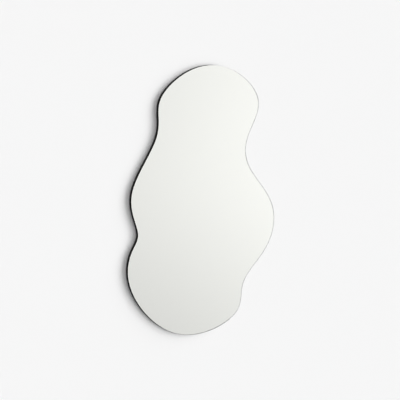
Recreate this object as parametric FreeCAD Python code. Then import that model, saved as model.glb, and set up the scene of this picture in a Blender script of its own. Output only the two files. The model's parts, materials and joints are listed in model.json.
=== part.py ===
# A pebble-shaped wall mirror: glass bonded to a black backing panel, which hangs on a two-part hook
# rail and lifts off it.
#
# Sizes are in millimetres. As the viewer sees the mirror, +X is to the right and +Z is up. The wall is
# the plane y = 0 and the glass faces -Y. The origin is on the wall, midway between the two screw slots
# of the wall rail. A depth is measured from the wall towards the viewer, so it is minus y.
import FreeCAD, Part
import math
import os

Vector = FreeCAD.Vector

# ---- Outline ----------------------------------------------------------------------------------------
# The outline is one smooth closed curve, a uniform cubic B-spline. These are its control points, x and
# z from the middle of the mirror, anticlockwise as the viewer sees it. They make it 600 by 1000 mm.
OUTLINE_POINTS = [
    (-41, 512),    # crown, left part
    (-207, 379),   # left shoulder
    (-143, 263),   # left waist
    (-327, 43),    # left lobe
    (-235, -112),  # left notch
    (-294, -157),  # lower left lobe, top
    (-318, -316),  # lower left lobe, bottom
    (-103, -551),  # base
    (193, -444),   # lower right lobe
    (137, -319),   # lower right waist
    (293, -200),   # right lobe, bottom
    (317, -22),    # right lobe, top
    (174, 111),    # right waist, bottom
    (174, 232),    # right waist, top
    (270, 356),    # right shoulder
    (134, 498),    # crown, right part
]
MIRROR_CENTRE_X = 10.0    # middle of the outline, from the origin; this puts the rails over the
MIRROR_CENTRE_Z = -285.0  # mirror's centre of gravity, high up where the outline is wide
SAMPLES_PER_POINT = 8     # places worked out on the curve for each control point

# ---- Layers, from the glass back to the wall --------------------------------------------------------
GLASS_THICKNESS = 4.0
GLASS_BEVEL = 0.5         # polished 45 degree bevel round the front, which breaks the edge
GLASS_BACK_BEVEL = 0.4    # a smaller one round the back
COATING_THICKNESS = 0.1   # silvering and its paint, on the back of the glass
COATING_SETBACK = 0.2     # from the coating's rim to the start of the glass's back bevel
FILM_THICKNESS = 0.2      # plastic film that holds the glass together if it breaks
FILM_SETBACK = 0.5        # from the film's rim to the coating's rim
BOND_THICKNESS = 1.0      # tape, adhesive and edge seal, between the film and the backing panel
PANEL_THICKNESS = 15.0
PANEL_INSET = 0.5         # from the glass's edge in to the panel's edge
PANEL_BEVEL = 0.8
WALL_GAP = 2.0            # between the panel and the wall; the bumpers fill it

# ---- What bonds the glass to the panel --------------------------------------------------------------
SEAL_INSET = 3.5          # from the glass's edge to the edge seal
SEAL_WIDTH = 6.0
TAPE_COUNT = 6
TAPE_WIDTH = 19.0
TAPE_SPACING = 80.0
BEAD_WIDTH = 10.0         # a bead of adhesive runs midway between two strips of tape
BOND_CLEARANCE = 12.0     # from the ends of the tape and the beads to the edge seal

# ---- Hook rails: one Z-shaped bar on the wall, the same bar turned over on the panel ----------------
RAIL_STOCK = 2.0          # wall of the bar
RAIL_FLANGE_HEIGHT = 20.0
RAIL_LIP_HEIGHT = 10.0    # depth of the hook
RAIL_EDGE_RADIUS = 0.4
HOOK_CLEARANCE = 0.4      # play of a lip in the other bar's hook, front to back
WALL_SLOT_SPACING = 160.0
WALL_SLOT_LENGTH = 12.0
WALL_SLOT_WIDTH = 5.2
WALL_SLOT_END_DISTANCE = 30.0  # from the middle of a slot to the end of the wall's bar
PANEL_RAIL_OVERHANG = 20.0     # of the panel's bar past each end of the wall's bar
LIFT_TRAVEL = 12.0        # how far the mirror is lifted to take it off

# ---- Pocket in the back of the panel, which holds both rails ----------------------------------------
POCKET_MARGIN = 6.0       # round the rails, at rest and with the mirror lifted
POCKET_CORNER_RADIUS = 6.0

# ---- Screws that hold the panel's rail --------------------------------------------------------------
SCREW_COUNT = 4
SCREW_END_DISTANCE = 22.0  # from the outer screws to the ends of the panel's bar
SCREW_DIAMETER = 3.5
SCREW_COVER = 2.4         # panel left in front of a screw's tip
SCREW_TIP_LENGTH = 2.5
SCREW_HEAD_DIAMETER = 7.0
SCREW_HEAD_HEIGHT = 2.0
SCREW_HEAD_RADIUS = 0.8
SCREW_HOLE_PLAY = 0.5     # on the diameter, in the rail
SCREW_PILOT_PLAY = 0.1    # on the diameter, in the panel
RECESS_LENGTH = 3.6       # cross recess in the head
RECESS_WIDTH = 0.8
RECESS_DEPTH = 1.2

# ---- Rubber bumpers ---------------------------------------------------------------------------------
BUMPER_DIAMETER = 18.0
BUMPER_EDGE_RADIUS = 0.6
BUMPER_INSET = 32.0       # from the glass's edge to the middle of a bumper
# Where each bumper lies along the outline, counted in control points from the first one.
BUMPER_STATIONS = {
    "upper_left_bumper": 15.8,
    "upper_right_bumper": 13.2,
    "lower_left_bumper": 5.3,
    "lower_right_bumper": 7.1,
}

# ---- Depths that follow from the sizes above --------------------------------------------------------
PANEL_BACK = WALL_GAP
PANEL_FRONT = PANEL_BACK + PANEL_THICKNESS
FILM_BACK = PANEL_FRONT + BOND_THICKNESS
COATING_BACK = FILM_BACK + FILM_THICKNESS
GLASS_BACK = COATING_BACK + COATING_THICKNESS
GLASS_FRONT = GLASS_BACK + GLASS_THICKNESS

# The hook of a bar is as wide as the other bar's lip and the play. Both bars together lie between the
# wall and the floor of the pocket, with half the play beside each lip.
HOOK_WIDTH = RAIL_STOCK + HOOK_CLEARANCE
POCKET_FLOOR = HOOK_WIDTH + RAIL_STOCK + HOOK_CLEARANCE / 2
SCREW_SEAT = POCKET_FLOOR - RAIL_STOCK
SCREW_TIP = PANEL_FRONT - SCREW_COVER

# Lengths and heights of the rails. The screw slots are at half the height of the wall rail's flange.
WALL_RAIL_LENGTH = WALL_SLOT_SPACING + 2 * WALL_SLOT_END_DISTANCE
PANEL_RAIL_LENGTH = WALL_RAIL_LENGTH + 2 * PANEL_RAIL_OVERHANG
WALL_RAIL_BOTTOM = -RAIL_FLANGE_HEIGHT / 2
WALL_HOOK_FLOOR = WALL_RAIL_BOTTOM + RAIL_FLANGE_HEIGHT
PANEL_HOOK_FLOOR = WALL_HOOK_FLOOR + RAIL_LIP_HEIGHT
PANEL_RAIL_TOP = PANEL_HOOK_FLOOR + RAIL_FLANGE_HEIGHT
# The screws stand midway between the panel rail's web and its top edge.
SCREW_HEIGHT = (PANEL_HOOK_FLOOR + RAIL_STOCK + PANEL_RAIL_TOP) / 2

PANEL_RIM = PANEL_INSET
COATING_RIM = GLASS_BACK_BEVEL + COATING_SETBACK
FILM_RIM = COATING_RIM + FILM_SETBACK
BOND_RIM = SEAL_INSET + SEAL_WIDTH + BOND_CLEARANCE


# ---- Outline and plates -----------------------------------------------------------------------------
def outline_place(station, inset):
    """Point (x, z) of the outline, moved inwards by inset. The station counts control points."""
    count = len(OUTLINE_POINTS)
    first = int(math.floor(station))
    t = station - first
    weights = [(1 - t) ** 3, 3 * t**3 - 6 * t**2 + 4, -3 * t**3 + 3 * t**2 + 3 * t + 1, t**3]
    slopes = [-((1 - t) ** 2), 3 * t**2 - 4 * t, -3 * t**2 + 2 * t + 1, t**2]
    near = [OUTLINE_POINTS[(first + k) % count] for k in range(4)]
    x, z = (sum(w * p[axis] for w, p in zip(weights, near)) / 6 for axis in (0, 1))
    along_x, along_z = (sum(s * p[axis] for s, p in zip(slopes, near)) for axis in (0, 1))
    length = math.hypot(along_x, along_z)
    inward_x, inward_z = -along_z / length, along_x / length
    return (MIRROR_CENTRE_X + x + inset * inward_x, MIRROR_CENTRE_Z + z + inset * inward_z)


def outline_places(inset):
    """Points (x, z) all round the outline, moved inwards by inset."""
    total = len(OUTLINE_POINTS) * SAMPLES_PER_POINT
    return [outline_place(step / SAMPLES_PER_POINT, inset) for step in range(total)]


def outline_wire(inset, depth):
    """The closed outline, moved inwards by inset, at a depth, as one edge for each control point."""
    points = [Vector(x, -depth, z) for x, z in outline_places(inset)]
    stations = [step / SAMPLES_PER_POINT for step in range(len(points) + 1)]
    curve = Part.BSplineCurve()
    curve.interpolate(Points=points, Parameters=stations, PeriodicFlag=True)
    edges = []
    for station in range(len(OUTLINE_POINTS)):
        stretch = curve.copy()
        stretch.segment(station, station + 1)
        edges.append(stretch.toShape())
    return Part.Wire(edges)


def plate(inset, back, front):
    """A plate with square edges, its rim moved inwards by inset, between two depths."""
    face = Part.Face(outline_wire(inset, back))
    return face.extrude(Vector(0, back - front, 0))


def bevelled_plate(inset, back, front, back_bevel, front_bevel):
    """A plate like that with 45 degree bevels round its back and its front."""
    sections = [
        outline_wire(inset + back_bevel, back),
        outline_wire(inset, back + back_bevel),
        outline_wire(inset, front - front_bevel),
        outline_wire(inset + front_bevel, front),
    ]
    return Part.makeLoft(sections, True, True)


def box(left, right, back, front, bottom, top):
    """A box between two x values, two depths and two heights."""
    return Part.makeBox(right - left, front - back, top - bottom, Vector(left, -front, bottom))


def rod(x, z, diameter, back, front):
    """A round bar square to the wall, between two depths."""
    return Part.makeCylinder(diameter / 2, front - back, Vector(x, -front, z), Vector(0, 1, 0))


def edges_along(shape, direction):
    """The straight edges of a shape that run along a direction."""
    straight = [edge for edge in shape.Edges if isinstance(edge.Curve, Part.Line)]
    return [edge for edge in straight if abs(edge.Curve.Direction.dot(direction)) > 0.999]


def spread(count, length):
    """Positions of count things spread evenly over a length, about 0."""
    return [(number / (count - 1) - 0.5) * length for number in range(count)]


# ---- Glass and its layers ---------------------------------------------------------------------------
def mirror_glass():
    return bevelled_plate(0, GLASS_BACK, GLASS_FRONT, GLASS_BACK_BEVEL, GLASS_BEVEL)


def mirror_coating():
    return plate(COATING_RIM, COATING_BACK, GLASS_BACK)


def safety_film():
    return plate(FILM_RIM, FILM_BACK, COATING_BACK)


# ---- Bond between glass and panel -------------------------------------------------------------------
def edge_seal():
    """A closed bead round the rim that keeps damp off the coating and hides the bond."""
    outer = plate(SEAL_INSET, PANEL_FRONT, FILM_BACK)
    inner = plate(SEAL_INSET + SEAL_WIDTH, PANEL_FRONT, FILM_BACK)
    return outer.cut(inner)


def crossings(x):
    """Heights at which an upright line crosses the rim that the tape and the beads keep inside."""
    places = outline_places(BOND_RIM)
    heights = []
    for (x1, z1), (x2, z2) in zip(places, places[1:] + places[:1]):
        if (x1 <= x) != (x2 <= x):
            heights.append(z1 + (z2 - z1) * (x - x1) / (x2 - x1))
    return heights


def upright_room(middle, width):
    """Lowest and highest z of an upright strip that crosses the mirror's middle height."""
    heights = crossings(middle - width / 2) + crossings(middle + width / 2)
    return (
        max(z for z in heights if z < MIRROR_CENTRE_Z),
        min(z for z in heights if z > MIRROR_CENTRE_Z),
    )


def tape_strip(middle):
    """A strip of foam tape with square ends."""
    bottom, top = upright_room(middle, TAPE_WIDTH)
    left, right = middle - TAPE_WIDTH / 2, middle + TAPE_WIDTH / 2
    return box(left, right, PANEL_FRONT, FILM_BACK, bottom, top)


def adhesive_bead(middle):
    """A bead of adhesive, pressed flat between film and panel, with round ends."""
    bottom, top = upright_room(middle, BEAD_WIDTH)
    radius = BEAD_WIDTH / 2
    low, high = bottom + radius, top - radius
    ends = [rod(middle, z, BEAD_WIDTH, PANEL_FRONT, FILM_BACK) for z in (low, high)]
    run = box(middle - radius, middle + radius, PANEL_FRONT, FILM_BACK, low, high)
    return run.fuse(ends).removeSplitter()


def bond_pieces():
    """The strips of tape and the beads between them, by name, from left to right."""
    offsets = spread(TAPE_COUNT, (TAPE_COUNT - 1) * TAPE_SPACING)
    tape_middles = [MIRROR_CENTRE_X + offset for offset in offsets]
    pieces = {}
    for number, middle in enumerate(tape_middles, 1):
        pieces[f"tape_strip_{number}"] = tape_strip(middle)
    for number, middle in enumerate(tape_middles[:-1], 1):
        pieces[f"adhesive_bead_{number}"] = adhesive_bead(middle + TAPE_SPACING / 2)
    return pieces


# ---- Hook rails -------------------------------------------------------------------------------------
def hook_bar(length):
    """A Z-shaped bar along X. Its flange lies on the plane y = 0, its web's upper face is the hook's
    floor at z = 0, and its lip stands up in front of the hook."""
    flange = box(-length / 2, length / 2, 0, RAIL_STOCK, -RAIL_FLANGE_HEIGHT, 0)
    lip_front = HOOK_WIDTH + RAIL_STOCK
    web = box(-length / 2, length / 2, 0, lip_front, -RAIL_STOCK, 0)
    lip = box(-length / 2, length / 2, HOOK_WIDTH, lip_front, -RAIL_STOCK, RAIL_LIP_HEIGHT)
    bar = flange.fuse([web, lip]).removeSplitter()
    return bar.makeFillet(RAIL_EDGE_RADIUS, edges_along(bar, Vector(1, 0, 0)))


def wall_slot(middle):
    """Cutter for one upright-walled slot along X through the wall rail's flange."""
    radius = WALL_SLOT_WIDTH / 2
    reach = WALL_SLOT_LENGTH / 2 - radius
    ends = [rod(middle + side * reach, 0, WALL_SLOT_WIDTH, 0, RAIL_STOCK) for side in (-1, 1)]
    run = box(middle - reach, middle + reach, 0, RAIL_STOCK, -radius, radius)
    return run.fuse(ends).removeSplitter()


def wall_rail():
    bar = hook_bar(WALL_RAIL_LENGTH)
    bar.translate(Vector(0, 0, WALL_HOOK_FLOOR))
    slots = [wall_slot(middle) for middle in spread(2, WALL_SLOT_SPACING)]
    return bar.cut(slots)


def screw_places():
    """Middles of the screws along X."""
    return spread(SCREW_COUNT, PANEL_RAIL_LENGTH - 2 * SCREW_END_DISTANCE)


def panel_rail():
    """The same bar turned over, with its flange on the floor of the pocket."""
    bar = hook_bar(PANEL_RAIL_LENGTH)
    bar.rotate(Vector(0, 0, 0), Vector(1, 0, 0), 180)
    bar.translate(Vector(0, -POCKET_FLOOR, PANEL_HOOK_FLOOR))
    hole = SCREW_DIAMETER + SCREW_HOLE_PLAY
    return bar.cut([rod(x, SCREW_HEIGHT, hole, SCREW_SEAT, POCKET_FLOOR) for x in screw_places()])


def screw_recess(middle, top):
    """Cutter for the cross recess in a head whose top is at a depth."""
    half_length, half_width = RECESS_LENGTH / 2, RECESS_WIDTH / 2
    arms = []
    for wide, high in ((half_length, half_width), (half_width, half_length)):
        low, up = SCREW_HEIGHT - high, SCREW_HEIGHT + high
        arms.append(box(middle - wide, middle + wide, top, top + RECESS_DEPTH, low, up))
    return arms


def rail_screw(middle):
    """A pan-head screw with a cross recess. Its head lies on the rail, towards the wall."""
    top = SCREW_SEAT - SCREW_HEAD_HEIGHT
    head = rod(middle, SCREW_HEIGHT, SCREW_HEAD_DIAMETER, top, SCREW_SEAT)
    rim = [edge for edge in head.Edges if abs(edge.BoundBox.YMin + top) < 0.001]
    head = head.makeFillet(SCREW_HEAD_RADIUS, rim)
    shoulder = SCREW_TIP - SCREW_TIP_LENGTH
    shank = rod(middle, SCREW_HEIGHT, SCREW_DIAMETER, SCREW_SEAT, shoulder)
    base = Vector(middle, -shoulder, SCREW_HEIGHT)
    point = Part.makeCone(SCREW_DIAMETER / 2, 0, SCREW_TIP_LENGTH, base, Vector(0, -1, 0))
    return head.cut(screw_recess(middle, top)).fuse([shank, point]).removeSplitter()


def rail_screws():
    return Part.Compound([rail_screw(middle) for middle in screw_places()])


# ---- Backing panel and bumpers ----------------------------------------------------------------------
def rail_pocket():
    """Cutter for the pocket, tall enough for the wall rail while the mirror is lifted."""
    half = PANEL_RAIL_LENGTH / 2 + POCKET_MARGIN
    bottom = WALL_RAIL_BOTTOM - LIFT_TRAVEL - POCKET_MARGIN
    top = PANEL_RAIL_TOP + POCKET_MARGIN
    pocket = box(-half, half, PANEL_BACK, POCKET_FLOOR, bottom, top)
    return pocket.makeFillet(POCKET_CORNER_RADIUS, edges_along(pocket, Vector(0, 1, 0)))


def backing_panel():
    panel = bevelled_plate(PANEL_RIM, PANEL_BACK, PANEL_FRONT, PANEL_BEVEL, PANEL_BEVEL)
    pilot = SCREW_DIAMETER + SCREW_PILOT_PLAY
    holes = [rod(x, SCREW_HEIGHT, pilot, POCKET_FLOOR, SCREW_TIP) for x in screw_places()]
    return panel.cut([rail_pocket()] + holes)


def bumper(station):
    """A round rubber pad on the back of the panel, which rests on the wall."""
    x, z = outline_place(station, BUMPER_INSET)
    pad = rod(x, z, BUMPER_DIAMETER, 0, PANEL_BACK)
    rim = [edge for edge in pad.Edges if abs(edge.BoundBox.YMin) < 0.001]
    return pad.makeFillet(BUMPER_EDGE_RADIUS, rim)


# ---- The whole mirror -------------------------------------------------------------------------------
def all_pieces():
    pieces = {
        "mirror_glass": mirror_glass(),
        "mirror_coating": mirror_coating(),
        "safety_film": safety_film(),
        "edge_seal": edge_seal(),
        "backing_panel": backing_panel(),
        "panel_rail": panel_rail(),
        "panel_rail_screws": rail_screws(),
        "wall_rail": wall_rail(),
    }
    pieces.update(bond_pieces())
    pieces.update({name: bumper(station) for name, station in BUMPER_STATIONS.items()})
    return pieces


os.makedirs("parts", exist_ok=True)
for name, shape in all_pieces().items():
    shape.exportStep(f"parts/{name}.step")
    print(f"{name}: {len(shape.Solids)} solid(s), {shape.Volume / 1000:.2f} cm3, valid {shape.isValid()}")
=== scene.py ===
"""A pebble-shaped wall mirror, dressed for rendering on its packed construction.

Lengths are in metres, in the frame of the construction: +X is to the viewer's right, +Z is up, the wall
is the plane y = 0 and the glass faces -Y. A depth is measured from the wall towards the viewer.
"""
import json
import math

import bmesh
import bpy
from bpy.props import FloatProperty, FloatVectorProperty, IntProperty, PointerProperty
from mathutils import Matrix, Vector


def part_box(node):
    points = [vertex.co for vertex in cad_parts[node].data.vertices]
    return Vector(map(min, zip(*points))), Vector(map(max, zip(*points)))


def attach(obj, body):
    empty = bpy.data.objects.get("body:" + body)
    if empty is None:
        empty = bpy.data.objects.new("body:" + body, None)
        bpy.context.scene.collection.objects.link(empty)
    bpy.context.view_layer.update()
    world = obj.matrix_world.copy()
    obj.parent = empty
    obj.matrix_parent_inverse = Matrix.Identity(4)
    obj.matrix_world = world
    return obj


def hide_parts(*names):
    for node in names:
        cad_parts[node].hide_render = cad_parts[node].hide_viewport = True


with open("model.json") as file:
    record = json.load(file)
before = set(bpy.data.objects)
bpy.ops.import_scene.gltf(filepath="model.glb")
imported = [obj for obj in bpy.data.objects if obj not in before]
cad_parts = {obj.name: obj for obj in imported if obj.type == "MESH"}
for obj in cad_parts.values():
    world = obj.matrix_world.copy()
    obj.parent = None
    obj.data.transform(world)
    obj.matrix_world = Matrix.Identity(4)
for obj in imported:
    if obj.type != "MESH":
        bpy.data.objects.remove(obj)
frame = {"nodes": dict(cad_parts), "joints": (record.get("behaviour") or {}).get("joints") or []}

bl_info = {
    "name": "Pebble Wall Mirror",
    "version": (1, 0, 0),
    "blender": (4, 5, 0),
    "location": "3D View > Sidebar > Mirror",
    "description": "Dresses a pebble-shaped wall mirror with its glass, silvering, panel and rails",
    "category": "Object",
}

# ---- Places taken from the construction -------------------------------------------------------------
GLASS_LOW, GLASS_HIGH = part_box("mirror_glass")
_, SILVER_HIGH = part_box("mirror_coating")
PANEL_LOW, PANEL_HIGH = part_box("backing_panel")
WALL_RAIL_LOW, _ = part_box("wall_rail")
PANEL_RAIL_LOW, PANEL_RAIL_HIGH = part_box("panel_rail")
SCREWS_LOW, SCREWS_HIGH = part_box("panel_rail_screws")
LIFT_TRAVEL = frame["joints"][0]["range_m"][1]

GLASS_FRONT, GLASS_BACK = -GLASS_LOW.y, -GLASS_HIGH.y
SILVER_BACK = -SILVER_HIGH.y
PANEL_FRONT, PANEL_BACK = -PANEL_LOW.y, -PANEL_HIGH.y
POCKET_FLOOR = -PANEL_RAIL_LOW.y
SCREW_TIP = -SCREWS_LOW.y

# ---- Outline ----------------------------------------------------------------------------------------
# Control points of a uniform cubic B-spline, x and z from the mirror's middle, anticlockwise as the
# viewer sees it.
OUTLINE_POINTS = [
    (-0.041, 0.512),   # crown, left part
    (-0.207, 0.379),   # left shoulder
    (-0.143, 0.263),   # left waist
    (-0.327, 0.043),   # left lobe
    (-0.235, -0.112),  # left notch
    (-0.294, -0.157),  # lower left lobe, top
    (-0.318, -0.316),  # lower left lobe, bottom
    (-0.103, -0.551),  # base
    (0.193, -0.444),   # lower right lobe
    (0.137, -0.319),   # lower right waist
    (0.293, -0.200),   # right lobe, bottom
    (0.317, -0.022),   # right lobe, top
    (0.174, 0.111),    # right waist, bottom
    (0.174, 0.232),    # right waist, top
    (0.270, 0.356),    # right shoulder
    (0.134, 0.498),    # crown, right part
]
MIRROR_CENTRE_X, MIRROR_CENTRE_Z = 0.010, -0.285

# ---- Sizes that the boxes don't give ----------------------------------------------------------------
COATING_RIM = 0.0006      # from the glass's edge to the silvering's edge
SILVER_CONTACT = 0.00003  # how far the silvering reaches into the glass, so that no air lies between
PANEL_RIM = 0.0005        # from the glass's edge to the panel's edge
POCKET_MARGIN = 0.006     # round the rails, at rest and with the mirror lifted
POCKET_CORNER = 0.006
PILOT_DIAMETER = 0.0036
SCREW_COUNT = 4
SCREW_HEAD_DIAMETER = 0.007
SHARP_ANGLE = math.radians(25)  # edges that turn by more than this stay crisp

# The rails and the row of screws are symmetric about x = 0.
POCKET_HALF_LENGTH = PANEL_RAIL_HIGH.x + POCKET_MARGIN
POCKET_BOTTOM = WALL_RAIL_LOW.z - LIFT_TRAVEL - POCKET_MARGIN
POCKET_TOP = PANEL_RAIL_HIGH.z + POCKET_MARGIN
SCREW_HEIGHT = (SCREWS_LOW.z + SCREWS_HIGH.z) / 2
SCREW_FIRST = SCREWS_LOW.x + SCREW_HEAD_DIAMETER / 2
SCREW_PITCH = -2 * SCREW_FIRST / (SCREW_COUNT - 1)

PALE = 0.921  # the background's level


# ---- Shader arithmetic ------------------------------------------------------------------------------
class Signal:
    """What comes out of a node. Arithmetic on it adds Math nodes to its finish."""

    def __init__(self, finish, socket):
        self.finish = finish
        self.socket = socket

    def math(self, operation, *values):
        return self.finish.node("ShaderNodeMath", {"operation": operation}, dict(enumerate(values)))

    def __add__(self, other):
        return self.math("ADD", self, other)

    def __radd__(self, other):
        return self.math("ADD", other, self)

    def __sub__(self, other):
        return self.math("SUBTRACT", self, other)

    def __rsub__(self, other):
        return self.math("SUBTRACT", other, self)

    def __mul__(self, other):
        return self.math("MULTIPLY", self, other)

    def __rmul__(self, other):
        return self.math("MULTIPLY", other, self)

    def __abs__(self):
        return self.math("ABSOLUTE", self)

    def sine(self):
        return self.math("SINE", self)

    def root(self):
        return self.math("SQRT", self)

    def wrapped(self, low, high):
        return self.math("WRAP", self, high, low)


class Finish:
    """The nodes of one material or world. Each method gives back what its node puts out."""

    def __init__(self, owner):
        self.owner = owner
        owner.use_nodes = True
        self.tree = owner.node_tree
        self.tree.nodes.clear()

    def node(self, kind, settings=None, inputs=None, output=0):
        """Adds a node. Its settings come first, then each input gets a value or a link."""
        made = self.tree.nodes.new(kind)
        for name, value in (settings or {}).items():
            setattr(made, name, value)
        for key, value in (inputs or {}).items():
            if isinstance(value, Signal):
                self.tree.links.new(value.socket, made.inputs[key])
            else:
                made.inputs[key].default_value = value
        return Signal(self, made.outputs[output]) if made.outputs else None

    def place(self):
        """Where a point is, in the frame of the construction at rest."""
        return self.node("ShaderNodeTexCoord", output="Object")

    def split(self, vector):
        source = self.node("ShaderNodeSeparateXYZ", inputs={0: vector})
        outputs = source.socket.node.outputs
        return [Signal(self, outputs[axis]) for axis in "XYZ"]

    def facing(self):
        """The parts of the surface's direction along X, Y and Z."""
        return self.split(self.node("ShaderNodeTexCoord", output="Normal"))

    def scaled(self, vector, factors):
        return self.node("ShaderNodeVectorMath", {"operation": "MULTIPLY"}, {0: vector, 1: factors})

    def noise(self, vector, scale, detail=2.0, roughness=0.5):
        inputs = {"Vector": vector, "Scale": scale, "Detail": detail, "Roughness": roughness}
        return self.node("ShaderNodeTexNoise", inputs=inputs)

    def cells(self, vector, scale):
        inputs = {"Vector": vector, "Scale": scale}
        return self.node("ShaderNodeTexVoronoi", {"feature": "F1"}, inputs, "Distance")

    def rise(self, value, start, end):
        """0 before start, 1 after end, and smooth between them."""
        inputs = {"Value": value, "From Min": start, "From Max": end}
        return self.node("ShaderNodeMapRange", {"interpolation_type": "SMOOTHSTEP"}, inputs)

    def blend(self, share, first, second):
        """The first colour, turning into the second as share goes from 0 to 1."""
        inputs = {0: share, 6: colour_input(first), 7: colour_input(second)}
        return self.node("ShaderNodeMix", {"data_type": "RGBA"}, inputs, 2)

    def bump(self, height, distance, strength):
        inputs = {"Height": height, "Distance": distance, "Strength": strength}
        return self.node("ShaderNodeBump", inputs=inputs)

    def surface(self, **sockets):
        """A surface shader. Underscores stand for the spaces in the names of its sockets."""
        inputs = {name.replace("_", " "): colour_input(value) for name, value in sockets.items()}
        return self.node("ShaderNodeBsdfPrincipled", inputs=inputs)

    def done(self, surface, volume=None):
        """Gives the owner its surface, and its volume if there is one."""
        kind = "World" if isinstance(self.owner, bpy.types.World) else "Material"
        inputs = {"Surface": surface, "Volume": volume} if volume else {"Surface": surface}
        self.node("ShaderNodeOutput" + kind, inputs=inputs)
        return self.owner


def opaque(colour):
    return (*colour[:3], 1.0)


def colour_input(value):
    """A colour of three numbers gets its fourth; anything else stays as it is."""
    if isinstance(value, (Signal, float, int)):
        return value
    return opaque(value)


def grey(level):
    return (level, level, level)


def shaded(colour, share):
    return [share * part for part in colour]


def cast(colour, factors):
    """The colour with each of its parts times a factor of its own."""
    return [factor * part for factor, part in zip(factors, colour)]


def new_finish(name):
    return Finish(bpy.data.materials.new(name))


# ---- Meshes -----------------------------------------------------------------------------------------
def outline_place(station, inset):
    """Point (x, z) of the outline, moved inwards by inset. The station counts control points."""
    count = len(OUTLINE_POINTS)
    first = math.floor(station)
    t = station - first
    weights = [(1 - t) ** 3, 3 * t**3 - 6 * t**2 + 4, -3 * t**3 + 3 * t**2 + 3 * t + 1, t**3]
    slopes = [-((1 - t) ** 2), 3 * t**2 - 4 * t, -3 * t**2 + 2 * t + 1, t**2]
    near = [OUTLINE_POINTS[(first + k) % count] for k in range(4)]
    x, z = (sum(w * p[axis] for w, p in zip(weights, near)) / 6 for axis in (0, 1))
    along = Vector([sum(s * p[axis] for s, p in zip(slopes, near)) for axis in (0, 1)]).normalized()
    return MIRROR_CENTRE_X + x - inset * along.y, MIRROR_CENTRE_Z + z + inset * along.x


def outline_ring(inset, depth, steps):
    """Points round the outline, moved inwards by inset, at a depth."""
    total = len(OUTLINE_POINTS) * steps
    places = [outline_place(step / steps, inset) for step in range(total)]
    return [Vector((x, -depth, z)) for x, z in places]


def add_ring(mesh, points):
    """A closed ring of vertices with the edges between them."""
    verts = [mesh.verts.new(point) for point in points]
    edges = [mesh.edges.new((a, b)) for a, b in zip(verts, verts[1:] + verts[:1])]
    return verts, edges


def join_rings(mesh, first, second):
    """A band of four-sided faces between two rings of as many vertices."""
    for index in range(len(first)):
        after = (index + 1) % len(first)
        mesh.faces.new((first[index], first[after], second[after], second[index]))


def finish_mesh(mesh, name, material, body, slot, *replaced):
    """Turns the working mesh into a piece that rides on a body and stands for nodes."""
    bmesh.ops.recalc_face_normals(mesh, faces=mesh.faces)
    data = bpy.data.meshes.new(name)
    mesh.to_mesh(data)
    mesh.free()
    data.polygons.foreach_set("use_smooth", [True] * len(data.polygons))
    data.set_sharp_from_angle(angle=SHARP_ANGLE)
    data.materials.append(material)
    piece = bpy.data.objects.new(name, data)
    bpy.context.scene.collection.objects.link(piece)
    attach(piece, body)
    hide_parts(*replaced)
    return piece


def stacked_plate(sections, steps):
    """A solid through outline rings, each an inset and a depth, closed at both ends."""
    mesh = bmesh.new()
    rings = [add_ring(mesh, outline_ring(inset, depth, steps))[0] for inset, depth in sections]
    for first, second in zip(rings, rings[1:]):
        join_rings(mesh, first, second)
    mesh.faces.new(rings[0])
    mesh.faces.new(rings[-1])
    return mesh


def rounded_edge(rim, radius, depth, sign, steps):
    """Insets and depths round a quarter circle, from a flat face at a depth to the side at rim.

    The sign is 1 where the side lies in front of the face, and -1 where it lies behind it.
    """
    turns = [math.pi / 2 * step / steps for step in range(steps + 1)]
    return [
        (rim + radius * (1 - math.sin(turn)), depth + sign * radius * (1 - math.cos(turn)))
        for turn in turns
    ]


def rounded_rectangle(half_length, bottom, top, radius, depth, steps):
    """Points round a rectangle with round corners, at a depth."""
    points = []
    corners = [(1, top, 0), (-1, top, 1), (-1, bottom, 2), (1, bottom, 3)]
    for side, height, quarter in corners:
        middle_x = side * (half_length - radius)
        middle_z = height + (radius if quarter > 1 else -radius)
        for step in range(steps + 1):
            turn = math.pi / 2 * (quarter + step / steps)
            x, z = middle_x + radius * math.cos(turn), middle_z + radius * math.sin(turn)
            points.append(Vector((x, -depth, z)))
    return points


def circle(x, z, radius, depth, steps):
    turns = [2 * math.pi * step / steps for step in range(steps)]
    return [Vector((x + radius * math.cos(turn), -depth, z + radius * math.sin(turn))) for turn in turns]


def sunk_hole(mesh, ring_points, depth):
    """A hole from a ring down to a flat floor at a depth. Gives the edges of its mouth and its floor."""
    mouth, mouth_edges = add_ring(mesh, ring_points)
    floor_points = [Vector((point.x, -depth, point.z)) for point in ring_points]
    floor, floor_edges = add_ring(mesh, floor_points)
    join_rings(mesh, mouth, floor)
    return mouth_edges, floor_edges


def dress(names, material):
    """Gives nodes of the construction a finish."""
    for name in names:
        node = frame["nodes"][name]
        node.data.materials.clear()
        node.data.materials.append(material)


def nodes_named(start):
    return sorted(name for name in frame["nodes"] if name.startswith(start))


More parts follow.
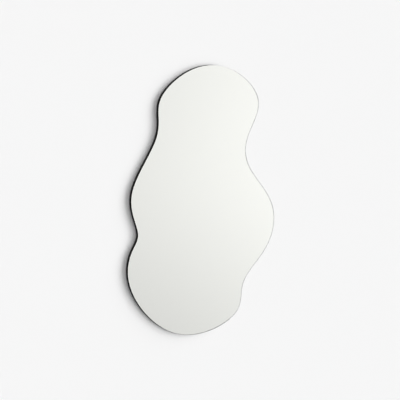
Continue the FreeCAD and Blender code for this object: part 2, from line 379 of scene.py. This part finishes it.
# ---- What a user can change -------------------------------------------------------------------------
class GlassSettings(bpy.types.PropertyGroup):
    """The glass and its silvering."""

    front_bevel: FloatProperty(
        name="Front Bevel", description="Width of the polished bevel round the front",
        default=0.0005, min=0.0002, max=0.01, precision=5, unit="LENGTH",
    )
    back_bevel: FloatProperty(
        name="Back Bevel", description="Width of the small bevel round the back",
        default=0.0004, min=0.0001, max=0.002, precision=5, unit="LENGTH",
    )
    outline_steps: IntProperty(
        name="Outline Steps", description="Steps between two control points of the outline",
        default=40, min=8, max=96,
    )
    tint: FloatVectorProperty(
        name="Glass Tint", description="Colour that light takes on in the thickness of the glass",
        default=(0.75, 0.93, 0.86), size=3, min=0, max=1, subtype="COLOR",
    )
    tint_density: FloatProperty(
        name="Tint Density", description="How strongly the glass tints, for each metre of the way",
        default=12.0, min=0, max=200,
    )
    silver: FloatVectorProperty(
        name="Silver", description="Colour of the silvering seen through the glass",
        default=(0.97, 0.96, 0.928), size=3, min=0, max=1, subtype="COLOR",
    )
    backing_paint: FloatVectorProperty(
        name="Backing Paint", description="Colour of the paint that protects the silvering",
        default=(0.16, 0.17, 0.18), size=3, min=0, max=1, subtype="COLOR",
    )


class PanelSettings(bpy.types.PropertyGroup):
    """The backing panel."""

    edge_radius: FloatProperty(
        name="Edge Radius", description="Radius of the panel's edges",
        default=0.0008, min=0.0001, max=0.005, precision=5, unit="LENGTH",
    )
    paint: FloatVectorProperty(
        name="Paint", description="Colour of the paint on the panel",
        default=(0.005, 0.005, 0.0054), size=3, min=0, max=1, subtype="COLOR",
    )
    board: FloatVectorProperty(
        name="Bare Board", description="Colour of the fibreboard where it is cut and not painted",
        default=(0.33, 0.20, 0.105), size=3, min=0, max=1, subtype="COLOR",
    )
    gloss: FloatProperty(
        name="Paint Roughness", description="Roughness of the paint",
        default=0.58, min=0, max=1, subtype="FACTOR",
    )


class FittingSettings(bpy.types.PropertyGroup):
    """Rails, screws, bumpers and the layers of the bond."""

    aluminium: FloatVectorProperty(
        name="Aluminium", description="Colour of the rails",
        default=(0.62, 0.63, 0.64), size=3, min=0, max=1, subtype="COLOR",
    )
    zinc: FloatVectorProperty(
        name="Zinc", description="Colour of the plated screws",
        default=(0.66, 0.68, 0.71), size=3, min=0, max=1, subtype="COLOR",
    )
    rubber: FloatVectorProperty(
        name="Rubber", description="Colour of the bumpers and the edge seal",
        default=(0.022, 0.022, 0.023), size=3, min=0, max=1, subtype="COLOR",
    )
    foam: FloatVectorProperty(
        name="Foam", description="Colour of the foam tape",
        default=(0.78, 0.78, 0.74), size=3, min=0, max=1, subtype="COLOR",
    )
    adhesive: FloatVectorProperty(
        name="Adhesive", description="Colour of the adhesive beads",
        default=(0.62, 0.61, 0.57), size=3, min=0, max=1, subtype="COLOR",
    )
    film: FloatVectorProperty(
        name="Film", description="Colour of the safety film",
        default=(0.50, 0.55, 0.60), size=3, min=0, max=1, subtype="COLOR",
    )


class StageSettings(bpy.types.PropertyGroup):
    """Camera, lights, wall and floor."""

    azimuth: FloatProperty(
        name="Azimuth", description="Turn of the camera round the mirror, to the viewer's right",
        default=math.radians(-26.1), subtype="ANGLE",
    )
    elevation: FloatProperty(
        name="Elevation", description="Height of the camera over the mirror's middle, as an angle",
        default=math.radians(10.0), subtype="ANGLE",
    )
    distance: FloatProperty(
        name="Distance", description="From the camera to what it looks at",
        default=7.0, min=0.5, max=30, unit="LENGTH",
    )
    lens: FloatProperty(
        name="Lens", description="Focal length, in millimetres",
        default=171.4, min=10, max=1000,
    )
    aim: FloatVectorProperty(
        name="Aim", description="Where the camera looks, from the middle of the glass's front",
        default=(-0.0085, 0.0030, 0.0051), size=3, subtype="TRANSLATION",
    )
    front_strength: FloatProperty(
        name="Front Lights",
        description="Strength of the soft lights in front of the wall, 1 as they are set",
        default=1.0, min=0, max=5, subtype="FACTOR",
    )
    back_strength: FloatProperty(
        name="Back Light", description="Strength of the soft light on the mirror's back",
        default=0.9, min=0, max=20,
    )
    floor_drop: FloatProperty(
        name="Floor Drop", description="From the mirror's lowest point to the floor",
        default=0.55, min=0.01, max=2, unit="LENGTH",
    )


class MirrorSettings(bpy.types.PropertyGroup):
    """All settings of the mirror."""

    glass: PointerProperty(type=GlassSettings, name="Glass", description="Glass and silvering")
    panel: PointerProperty(type=PanelSettings, name="Panel", description="Backing panel")
    fittings: PointerProperty(type=FittingSettings, name="Fittings", description="Rails and small pieces")
    stage: PointerProperty(type=StageSettings, name="Stage", description="Camera, lights, wall and floor")


# ---- Finishes ---------------------------------------------------------------------------------------
THREAD_PITCH = 0.0016     # between two threads of the film
BARE_SKIN = 0.0002        # over this depth the panel's paint gives way to bare board
CUTTER_STEP = 0.011       # between two passes of the cutter on the pocket's floor
TURNING_PITCH = 0.00035   # between two turning marks on a screw's head
BLUE_CAST, STRAW_CAST = (0.92, 0.97, 1.03), (1.08, 1.03, 0.84)


def glass_finish(glass):
    """Clear glass with faint grinding lines along its polished edge."""
    finish = new_finish("polished_glass")
    edge = 1 - finish.rise(abs(finish.facing()[1]), 0.90, 0.99)
    lines = finish.noise(finish.scaled(finish.place(), (0.01, 3.0, 0.01)), 1500.0, 2.0)
    surface = finish.surface(
        Base_Color=grey(1.0), Roughness=edge * (0.02 + 0.06 * lines), IOR=1.52, Transmission_Weight=1.0,
    )
    inputs = {"Color": opaque(glass.tint), "Density": glass.tint_density}
    volume = finish.node("ShaderNodeVolumeAbsorption", inputs=inputs)
    return finish.done(surface, volume)


def silver_finish(glass):
    """Silver towards the viewer, with its protective paint on the back and round the rim."""
    finish = new_finish("silver_and_paint")
    painted = finish.rise(finish.facing()[1], -0.6, -0.3)
    haze = finish.noise(finish.place(), 9.0, 3.0)
    curtain = finish.noise(finish.scaled(finish.place(), (1.0, 1.0, 0.06)), 240.0, 3.0)
    streaks = finish.rise(curtain, 0.35, 0.7)
    paint = finish.blend(streaks, shaded(glass.backing_paint, 0.8), glass.backing_paint)
    surface = finish.surface(
        Base_Color=finish.blend(painted, glass.silver, paint),
        Metallic=1 - painted,
        Roughness=0.004 * haze + painted * 0.5,
    )
    return finish.done(surface)


def film_finish(fittings):
    """Thin plastic film with a fine woven reinforcement, and painted shade where it creases."""
    finish = new_finish("woven_film")
    x, _, z = finish.split(finish.place())
    thread = 2 * math.pi / THREAD_PITCH
    weave = (x * thread).sine() * (z * thread).sine() * 0.5 + 0.5
    # painted shade: the colour darkens in patches taken as creases, which have no shape of their own
    crease_shade = finish.rise(finish.noise(finish.place(), 14.0, 4.0), 0.5, 0.8)
    colour = finish.blend(weave * 0.5 + crease_shade * 0.3, fittings.film, shaded(fittings.film, 0.75))
    surface = finish.surface(
        Base_Color=colour, Roughness=0.34 + 0.12 * weave, Normal=finish.bump(weave, 0.00005, 0.6),
    )
    return finish.done(surface)


def seal_finish(fittings):
    """Black sealant, drawn smooth, with a dull skin."""
    finish = new_finish("drawn_sealant")
    ripples = finish.noise(finish.place(), 260.0, 3.0)
    surface = finish.surface(
        Base_Color=finish.blend(ripples, fittings.rubber, shaded(fittings.rubber, 1.6)),
        Roughness=0.5 + 0.2 * ripples,
        Normal=finish.bump(ripples, 0.0002, 0.5),
    )
    return finish.done(surface)


def foam_finish(fittings):
    """Closed-cell foam: small pores in a pale skin, darkened with painted shade."""
    finish = new_finish("closed_cell_foam")
    pores = finish.rise(finish.cells(finish.place(), 1700.0), 0.15, 0.6)
    mottle = finish.noise(finish.place(), 90.0, 3.0)
    # painted shade: the colour darkens in the sunk pores, as if shade fell into them; the mottle is the
    # foam's own tone
    colour = finish.blend(pores * 0.6 + mottle * 0.4, shaded(fittings.foam, 0.6), fittings.foam)
    surface = finish.surface(
        Base_Color=colour, Roughness=0.85 - 0.1 * mottle, Normal=finish.bump(pores, 0.0002, 0.5),
    )
    return finish.done(surface)


def adhesive_finish(fittings):
    """Elastic adhesive, pressed flat, with flow marks along the bead."""
    finish = new_finish("pressed_adhesive")
    flow = finish.noise(finish.scaled(finish.place(), (1.0, 1.0, 0.12)), 420.0, 3.0)
    surface = finish.surface(
        Base_Color=finish.blend(flow, shaded(fittings.adhesive, 0.82), fittings.adhesive),
        Roughness=0.38 + 0.2 * flow,
        Normal=finish.bump(flow, 0.0003, 0.4),
    )
    return finish.done(surface)


def panel_finish(panel):
    """Matte black paint on fibreboard, and bare board in the pocket."""
    finish = new_finish("painted_fibreboard")
    place = finish.place()
    x, y, z = finish.split(place)
    edge = 1 - finish.rise(abs(finish.facing()[1]), 0.2, 0.9)

    # the pocket: inside its rectangle and deeper than the panel's back
    middle = (POCKET_TOP + POCKET_BOTTOM) / 2
    half_height = (POCKET_TOP - POCKET_BOTTOM) / 2
    across = 1 - finish.rise(abs(x), POCKET_HALF_LENGTH + BARE_SKIN, POCKET_HALF_LENGTH + 2 * BARE_SKIN)
    upright = 1 - finish.rise(abs(z - middle), half_height + BARE_SKIN, half_height + 2 * BARE_SKIN)
    deeper = finish.rise(y * -1, PANEL_BACK, PANEL_BACK + BARE_SKIN)
    bare = across * upright * deeper

    # paint: fine peel, drifts of dust, rubbed patches, and fibres that stand up on the edge
    peel = finish.noise(place, 700.0, 2.0)
    drift = finish.rise(finish.noise(place, 5.0, 5.0, 0.62), 0.48, 0.78)
    specks = finish.rise(finish.noise(place, 420.0, 1.0), 0.66, 0.78)
    rubs = finish.rise(finish.noise(finish.scaled(place, (1.0, 1.0, 0.16)), 26.0, 6.0, 0.7), 0.60, 0.74)
    fibres = finish.noise(finish.scaled(place, (1.0, 3.0, 1.0)), 900.0, 3.0)
    dusty = [part + 0.03 for part in panel.paint]
    dust = (1 - edge) * (drift * 0.5 + specks * 0.4) + rubs * 0.15
    paint = finish.blend(dust, panel.paint, dusty)
    paint_roughness = panel.gloss + 0.10 * drift - 0.10 * rubs + edge * 0.12 * fibres

    # bare board: felted fibres and the overlapping passes of the cutter
    felt = finish.noise(finish.scaled(place, (0.45, 1.0, 1.0)), 520.0, 4.0, 0.65)
    clumps = finish.noise(place, 70.0, 4.0)
    passes = (z * (2 * math.pi / CUTTER_STEP) + 0.6 * finish.noise(place, 8.0)).sine()
    grain = felt * 0.7 + clumps * 0.3 + passes * 0.10
    board = finish.blend(grain, shaded(panel.board, 0.62), panel.board)

    height = (1 - bare) * (0.25 * peel + edge * 0.6 * fibres) + bare * (felt + 0.25 * passes)
    surface = finish.surface(
        Base_Color=finish.blend(bare, paint, board),
        Specular_IOR_Level=0.1,
        Roughness=(1 - bare) * paint_roughness + bare * 0.82,
        Normal=finish.bump(height, 0.00025, 0.6),
    )
    return finish.done(surface)


def aluminium_finish(fittings):
    """Mill-finish extrusion, drawn along X, with a few handling marks."""
    finish = new_finish("drawn_aluminium")
    place = finish.place()
    drawn = finish.noise(finish.scaled(place, (0.004, 1.0, 1.0)), 2600.0, 3.0, 0.6)
    bands = finish.noise(finish.scaled(place, (0.02, 1.0, 1.0)), 320.0, 2.0)
    marks = finish.rise(finish.noise(finish.scaled(place, (1.0, 1.0, 0.2)), 90.0, 6.0, 0.75), 0.62, 0.72)
    oxide = finish.noise(place, 22.0, 4.0)
    dull = shaded(fittings.aluminium, 0.80)
    colour = finish.blend(bands * 0.5 + oxide * 0.35, dull, fittings.aluminium)
    surface = finish.surface(
        Base_Color=colour,
        Metallic=1.0,
        Roughness=0.26 + 0.16 * drawn + 0.10 * oxide + 0.14 * marks,
        Normal=finish.bump(drawn + 0.4 * bands, 0.00004, 0.5),
    )
    return finish.done(surface)


def zinc_finish(fittings):
    """Bright zinc plate with turning marks on the heads and a faint blue and straw passivation."""
    finish = new_finish("bright_zinc")
    place = finish.place()
    x, _, z = finish.split(place)
    from_screw = (x - SCREW_FIRST).wrapped(-SCREW_PITCH / 2, SCREW_PITCH / 2)
    radius = (from_screw * from_screw + (z - SCREW_HEIGHT) * (z - SCREW_HEIGHT)).root()
    turning = (radius * (2 * math.pi / TURNING_PITCH)).sine() * 0.5 + 0.5
    bloom = finish.noise(place, 320.0, 3.0)
    blue, straw = cast(fittings.zinc, BLUE_CAST), cast(fittings.zinc, STRAW_CAST)
    surface = finish.surface(
        Base_Color=finish.blend(finish.rise(bloom, 0.3, 0.7), blue, straw),
        Metallic=1.0,
        Roughness=0.22 + 0.14 * bloom + 0.06 * turning,
        Normal=finish.bump(turning, 0.00003, 0.4),
    )
    return finish.done(surface)


def rubber_finish(fittings):
    """Moulded black rubber with a raised ring on its foot, lightened as a painted highlight, and dust on
    its skin.
    """
    finish = new_finish("moulded_rubber")
    across, _, up = finish.split(finish.node("ShaderNodeTexCoord", output="Generated"))
    radius = ((across - 0.5) * (across - 0.5) + (up - 0.5) * (up - 0.5)).root()
    ring = finish.rise(radius, 0.27, 0.30) * (1 - finish.rise(radius, 0.36, 0.39))
    grain = finish.noise(finish.place(), 2400.0, 2.0)
    dust = finish.rise(finish.noise(finish.place(), 210.0, 4.0), 0.45, 0.8)
    # the lighter colour serves the dust, and a painted highlight on the raised ring
    pale = [part + 0.06 for part in fittings.rubber]
    surface = finish.surface(
        Base_Color=finish.blend(dust * 0.5 + ring * 0.25, fittings.rubber, pale),
        Roughness=0.62 + 0.15 * grain + 0.1 * dust - 0.12 * ring,
        Normal=finish.bump(ring + 0.15 * grain, 0.0004, 0.7),
    )
    return finish.done(surface)


# ---- Pieces -----------------------------------------------------------------------------------------
class MIRROR_OT_glass(bpy.types.Operator):
    """Makes the clear glass with its polished bevels"""

    bl_idname = "pebble_mirror.glass"
    bl_label = "Make Glass"

    def execute(self, context):
        glass = context.scene.pebble_mirror.glass
        sections = [
            (glass.back_bevel, GLASS_BACK),
            (0.0, GLASS_BACK + glass.back_bevel),
            (0.0, GLASS_FRONT - glass.front_bevel),
            (glass.front_bevel, GLASS_FRONT),
        ]
        mesh = stacked_plate(sections, glass.outline_steps)
        material = glass_finish(glass)
        finish_mesh(mesh, "bevelled_glass", material, "mirror_side", "mirror_glass", "mirror_glass")
        return {"FINISHED"}


class MIRROR_OT_silvering(bpy.types.Operator):
    """Makes the silver layer on the back of the glass"""

    bl_idname = "pebble_mirror.silvering"
    bl_label = "Make Silvering"

    def execute(self, context):
        glass = context.scene.pebble_mirror.glass
        sections = [(COATING_RIM, SILVER_BACK), (COATING_RIM, GLASS_BACK + SILVER_CONTACT)]
        mesh = stacked_plate(sections, glass.outline_steps)
        material = silver_finish(glass)
        finish_mesh(mesh, "silver_layer", material, "mirror_side", "mirror_coating", "mirror_coating")
        return {"FINISHED"}


class MIRROR_OT_film(bpy.types.Operator):
    """Gives the safety film its finish"""

    bl_idname = "pebble_mirror.film"
    bl_label = "Finish Film"

    def execute(self, context):
        dress(["safety_film"], film_finish(context.scene.pebble_mirror.fittings))
        return {"FINISHED"}


class MIRROR_OT_edge_seal(bpy.types.Operator):
    """Gives the seal round the rim its finish"""

    bl_idname = "pebble_mirror.edge_seal"
    bl_label = "Finish Edge Seal"

    def execute(self, context):
        dress(["edge_seal"], seal_finish(context.scene.pebble_mirror.fittings))
        return {"FINISHED"}


class MIRROR_OT_tape(bpy.types.Operator):
    """Gives the strips of foam tape their finish"""

    bl_idname = "pebble_mirror.tape"
    bl_label = "Finish Tape"

    def execute(self, context):
        dress(nodes_named("tape_strip"), foam_finish(context.scene.pebble_mirror.fittings))
        return {"FINISHED"}


class MIRROR_OT_adhesive(bpy.types.Operator):
    """Gives the beads of adhesive their finish"""

    bl_idname = "pebble_mirror.adhesive"
    bl_label = "Finish Adhesive"

    def execute(self, context):
        dress(nodes_named("adhesive_bead"), adhesive_finish(context.scene.pebble_mirror.fittings))
        return {"FINISHED"}


class MIRROR_OT_panel(bpy.types.Operator):
    """Makes the backing panel with its pocket and pilot holes"""

    bl_idname = "pebble_mirror.panel"
    bl_label = "Make Panel"

    corner_steps: IntProperty(name="Corner Steps", description="Steps round each corner", default=8, min=2)

    def execute(self, context):
        settings = context.scene.pebble_mirror
        steps = settings.glass.outline_steps
        radius = settings.panel.edge_radius
        edge_steps, hole_steps = self.corner_steps // 2, 3 * self.corner_steps
        mesh = bmesh.new()

        # rim, from the back round the side to the front
        back_edge = rounded_edge(PANEL_RIM, radius, PANEL_BACK, 1, edge_steps)
        front_edge = rounded_edge(PANEL_RIM, radius, PANEL_FRONT, -1, edge_steps)
        sections = back_edge + front_edge[::-1]
        rings = [add_ring(mesh, outline_ring(inset, depth, steps)) for inset, depth in sections]
        for (first, _), (second, _) in zip(rings, rings[1:]):
            join_rings(mesh, first, second)
        mesh.faces.new(rings[-1][0])

        # back face round the pocket, and the pocket's floor round the pilot holes
        corner = rounded_rectangle(
            POCKET_HALF_LENGTH, POCKET_BOTTOM, POCKET_TOP, POCKET_CORNER, PANEL_BACK, self.corner_steps,
        )
        mouth, floor = sunk_hole(mesh, corner, POCKET_FLOOR)
        bmesh.ops.triangle_fill(mesh, edges=rings[0][1] + mouth, use_beauty=True)
        for number in range(SCREW_COUNT):
            x = SCREW_FIRST + number * SCREW_PITCH
            rim = circle(x, SCREW_HEIGHT, PILOT_DIAMETER / 2, POCKET_FLOOR, hole_steps)
            hole, bottom = sunk_hole(mesh, rim, SCREW_TIP)
            floor += hole
            bmesh.ops.edgenet_fill(mesh, edges=bottom)
        bmesh.ops.triangle_fill(mesh, edges=floor, use_beauty=True)

        material = panel_finish(settings.panel)
        finish_mesh(mesh, "painted_panel", material, "mirror_side", "black_board", "backing_panel")
        return {"FINISHED"}


class MIRROR_OT_rails(bpy.types.Operator):
    """Gives both hook rails their finish"""

    bl_idname = "pebble_mirror.rails"
    bl_label = "Finish Rails"

    def execute(self, context):
        dress(["wall_rail", "panel_rail"], aluminium_finish(context.scene.pebble_mirror.fittings))
        return {"FINISHED"}


class MIRROR_OT_screws(bpy.types.Operator):
    """Gives the rail's screws their finish"""

    bl_idname = "pebble_mirror.screws"
    bl_label = "Finish Screws"

    def execute(self, context):
        dress(["panel_rail_screws"], zinc_finish(context.scene.pebble_mirror.fittings))
        return {"FINISHED"}


class MIRROR_OT_bumpers(bpy.types.Operator):
    """Gives the four rubber bumpers their finish"""

    bl_idname = "pebble_mirror.bumpers"
    bl_label = "Finish Bumpers"

    def execute(self, context):
        names = [name for name in frame["nodes"] if name.endswith("_bumper")]
        dress(names, rubber_finish(context.scene.pebble_mirror.fittings))
        return {"FINISHED"}


# ---- Stage ------------------------------------------------------------------------------------------
STAGE_REACH = 9.0         # half the width of the wall and of the floor
WALL_SETBACK = 0.0002     # keeps the wall clear of the faces that touch it
WALL_PATCH_INSET = 0.003  # the patch of wall behind the mirror starts this far inside the outline
WALL_PATCH_STEPS = 12     # steps between two control points of its outline
FLOOR_FADE = (2.5, 6.0)   # the floor turns into the background between these distances
WALL_PAINT, WALL_GLOW = 0.88, 0.02
FLOOR_PAINT, FLOOR_GLOW = 0.45, 0.60
PAINT_MOTTLE = 0.002      # how far the paint's level strays to either side
FRONT_FILL, BACK_FILL = 0.068, 0.65  # the room's own light in front of the wall and behind it
FRONT_LIGHTS = [
    # name, azimuth, elevation and spread in degrees, and strength
    ("key_light", 42, 2, 50, 2.15),
    ("high_light", 58, 30, 35, 0.76),
    ("low_light", 52, -22, 40, 0.39),
    ("head_on_light", 0, 8, 20, 0.86),
]
BACK_LIGHT = ("back_light", 205, 35, 40)  # the same, but its strength is a setting

# What gloss and glass see of the room, by direction. Each pair says between which values a part sets
# in, or where the comment says so, ends.
ROOM_LEVEL = 0.74
BEHIND_RANGE = (-0.2, 0.2)            # along y
RIGHT_SIDE_RANGE = (0.12, 0.30)       # along x
RIGHT_WALL_RANGE = (0.25, 0.52)       # along x, and leaning with z
FAR_RIGHT_WALL_RANGE = (0.64, 0.80)   # along x
LEFT_WALL_RANGE = (0.15, 0.60)        # against x
FRONT_WALL_RANGE = (-0.12, 0.06)      # along z, and leaning with x
ABOVE_SKIRTING_RANGE = (-0.17, -0.07)  # along z
BELOW_SKIRTING_RANGE = (0.17, 0.28)   # against z
FLOOR_RANGE = (0.34, 0.50)            # against z
SCREEN_SIDE_RANGE = (0.60, 0.75)      # along x, the end of the screen
SCREEN_FOOT_RANGE = (-0.04, 0.06)     # along z
SCREEN_TOP_RANGE = (0.45, 0.60)       # along z, the end of the screen
SCREEN_SHADE, BEHIND_SHADE = 0.85, 0.45


def backdrop(name, mesh, material, mirrored):
    """A part of the stage. It takes the mirror's shadow, and casts no light or shade itself."""
    data = bpy.data.meshes.new(name)
    mesh.to_mesh(data)
    mesh.free()
    data.materials.append(material)
    piece = bpy.data.objects.new(name, data)
    piece.visible_diffuse = False
    piece.visible_shadow = False
    piece.visible_glossy = mirrored
    piece.visible_transmission = mirrored
    bpy.context.scene.collection.objects.link(piece)


def pale_paint(finish, paint, glow):
    """Plain pale paint. Its glow makes up for what the lights leave under the background's level."""
    mottle = finish.noise(finish.place(), 3.0)
    base = finish.blend(mottle, grey(paint - PAINT_MOTTLE), grey(paint + PAINT_MOTTLE))
    return finish.surface(
        Base_Color=base, Roughness=0.9, Specular_IOR_Level=0.0,
        Emission_Color=grey(1.0), Emission_Strength=glow,
    )


def fading_finish(name, paint, glow, faded):
    """Pale paint that is clear where the value that faded gives is 1."""
    finish = new_finish(name)
    clear = finish.node("ShaderNodeBsdfTransparent")
    inputs = {0: faded(finish), 1: pale_paint(finish, paint, glow), 2: clear}
    material = finish.done(finish.node("ShaderNodeMixShader", inputs=inputs))
    material.cycles.emission_sampling = "NONE"
    return material


def from_behind(finish):
    return finish.node("ShaderNodeNewGeometry", output="Backfacing")


def far_away(finish):
    x, y, _ = finish.split(finish.place())
    return finish.rise((x * x + y * y).root(), *FLOOR_FADE)


def room_world():
    """The room. The camera sees one pale level, gloss and glass its walls, floor and a dim screen."""
    finish = Finish(bpy.data.worlds.new("pale_room"))
    path = finish.node("ShaderNodeLightPath").socket.node.outputs
    kinds = ("Is Camera Ray", "Is Glossy Ray", "Is Transmission Ray")
    camera, glossy, through = (Signal(finish, path[kind]) for kind in kinds)
    mirrored = glossy.math("MAXIMUM", glossy, through)
    x, y, z = finish.split(finish.node("ShaderNodeTexCoord", output="Generated"))
    behind = finish.rise(y, *BEHIND_RANGE)

    right_side = finish.rise(x, *RIGHT_SIDE_RANGE)
    near_right = finish.rise(x + 0.39 * z, *RIGHT_WALL_RANGE)
    right_wall = 0.45 * near_right + 0.55 * finish.rise(x, *FAR_RIGHT_WALL_RANGE)
    left_wall = 0.17 * finish.rise(x * -1, *LEFT_WALL_RANGE)
    front_wall = 0.14 * finish.rise(z + 0.5 * x, *FRONT_WALL_RANGE) * (1 - right_side)
    above_skirting = 0.10 * finish.rise(z, *ABOVE_SKIRTING_RANGE)
    round_skirting = above_skirting + 0.10 * finish.rise(z * -1, *BELOW_SKIRTING_RANGE)
    floor = 0.35 * finish.rise(z * -1, *FLOOR_RANGE)
    light = ROOM_LEVEL + right_wall + left_wall + front_wall + right_side * (floor - round_skirting)
    screen = right_side * (1 - finish.rise(x, *SCREEN_SIDE_RANGE))
    screen = screen * finish.rise(z, *SCREEN_FOOT_RANGE) * (1 - finish.rise(z, *SCREEN_TOP_RANGE))
    shown = light * (1 - SCREEN_SHADE * screen) * (1 - BEHIND_SHADE * behind)

    fill = FRONT_FILL + (BACK_FILL - FRONT_FILL) * behind
    level = camera * PALE + mirrored * shown + (1 - camera - mirrored) * fill
    return finish.done(finish.node("ShaderNodeBackground", inputs={"Color": level, "Strength": 1.0}))


def soft_sun(name, azimuth, elevation, spread, strength, mirrored):
    """A soft light from far away. Its azimuth and elevation are those of a camera in its place."""
    data = bpy.data.lights.new(name, "SUN")
    data.energy = strength
    data.angle = math.radians(spread)
    light = bpy.data.objects.new(name, data)
    light.rotation_mode = "QUATERNION"
    direction = outwards(math.radians(azimuth), math.radians(elevation))
    light.rotation_quaternion = direction.to_track_quat("Z", "Y")
    light.visible_glossy = mirrored
    light.visible_transmission = mirrored
    bpy.context.scene.collection.objects.link(light)


def outwards(azimuth, elevation):
    """Direction from the mirror to a camera or a light."""
    level = math.cos(elevation)
    return Vector((math.sin(azimuth) * level, -math.cos(azimuth) * level, math.sin(elevation)))


def add_camera(stage):
    middle = (GLASS_LOW + GLASS_HIGH) / 2
    target = Vector((middle.x, -GLASS_FRONT, middle.z)) + Vector(stage.aim)
    direction = outwards(stage.azimuth, stage.elevation)
    data = bpy.data.cameras.new("camera")
    data.lens = stage.lens
    camera = bpy.data.objects.new("camera", data)
    camera.location = target + stage.distance * direction
    camera.rotation_mode = "QUATERNION"
    camera.rotation_quaternion = direction.to_track_quat("Z", "Y")
    bpy.context.scene.collection.objects.link(camera)
    bpy.context.scene.camera = camera


def add_wall(floor_height):
    """The wall round the mirror, and a patch of it behind the mirror that gloss and glass don't see."""
    paint = fading_finish("pale_wall", WALL_PAINT, WALL_GLOW, from_behind)
    opening = outline_ring(WALL_PATCH_INSET, -WALL_SETBACK, WALL_PATCH_STEPS)
    wall = bmesh.new()
    corners = [
        (-STAGE_REACH, floor_height),
        (STAGE_REACH, floor_height),
        (STAGE_REACH, STAGE_REACH),
        (-STAGE_REACH, STAGE_REACH),
    ]
    _, outer = add_ring(wall, [Vector((x, WALL_SETBACK, z)) for x, z in corners])
    _, inner = add_ring(wall, opening)
    bmesh.ops.triangle_fill(wall, edges=outer + inner, normal=(0, -1, 0))
    backdrop("wall", wall, paint, True)
    patch = bmesh.new()
    patch.faces.new(add_ring(patch, opening)[0])
    backdrop("wall_patch", patch, paint, False)


def add_floor(height):
    """A square floor that turns into the background far away."""
    floor = bmesh.new()
    signs = [(-1, -1), (1, -1), (1, 1), (-1, 1)]
    corners = [Vector((STAGE_REACH * x, STAGE_REACH * y, height)) for x, y in signs]
    floor.faces.new(add_ring(floor, corners)[0])
    backdrop("floor", floor, fading_finish("pale_floor", FLOOR_PAINT, FLOOR_GLOW, far_away), False)


class MIRROR_OT_stage(bpy.types.Operator):
    """Sets up the camera, the soft lights, the pale wall and the pale floor"""

    bl_idname = "pebble_mirror.stage"
    bl_label = "Set Up Stage"

    def execute(self, context):
        stage = context.scene.pebble_mirror.stage
        context.scene.view_settings.view_transform = "Standard"
        context.scene.world = room_world()
        add_camera(stage)
        for name, azimuth, elevation, spread, strength in FRONT_LIGHTS:
            soft_sun(name, azimuth, elevation, spread, stage.front_strength * strength, False)
        soft_sun(*BACK_LIGHT, stage.back_strength, True)
        floor_height = GLASS_LOW.z - stage.floor_drop
        add_wall(floor_height)
        add_floor(floor_height)
        return {"FINISHED"}


# ---- Add-on -----------------------------------------------------------------------------------------
STEPS = [
    MIRROR_OT_stage,
    MIRROR_OT_glass,
    MIRROR_OT_silvering,
    MIRROR_OT_film,
    MIRROR_OT_edge_seal,
    MIRROR_OT_tape,
    MIRROR_OT_adhesive,
    MIRROR_OT_panel,
    MIRROR_OT_rails,
    MIRROR_OT_screws,
    MIRROR_OT_bumpers,
]


class MIRROR_PT_sidebar(bpy.types.Panel):
    """Lists the steps and the settings of the mirror"""

    bl_label = "Pebble Mirror"
    bl_idname = "MIRROR_PT_sidebar"
    bl_space_type = "VIEW_3D"
    bl_region_type = "UI"
    bl_category = "Mirror"

    def draw(self, context):
        settings = context.scene.pebble_mirror
        column = self.layout.column(align=True)
        for step in STEPS:
            column.operator(step.bl_idname)
        for group in (settings.glass, settings.panel, settings.fittings, settings.stage):
            box = self.layout.box()
            for name in group.bl_rna.properties.keys():
                if name not in ("rna_type", "name"):
                    box.prop(group, name)


GROUPS = [GlassSettings, PanelSettings, FittingSettings, StageSettings, MirrorSettings]
CLASSES = GROUPS + STEPS + [MIRROR_PT_sidebar]


def register():
    for each in CLASSES:
        bpy.utils.register_class(each)
    bpy.types.Scene.pebble_mirror = PointerProperty(
        type=MirrorSettings, name="Pebble Mirror", description="Settings of the mirror",
    )


def unregister():
    del bpy.types.Scene.pebble_mirror
    for each in reversed(CLASSES):
        bpy.utils.unregister_class(each)


def run_step(step):
    group, name = step.bl_idname.split(".")
    getattr(getattr(bpy.ops, group), name)()


def main():
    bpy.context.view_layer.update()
    register()
    for step in STEPS:
        run_step(step)


if __name__ == "__main__":
    main()
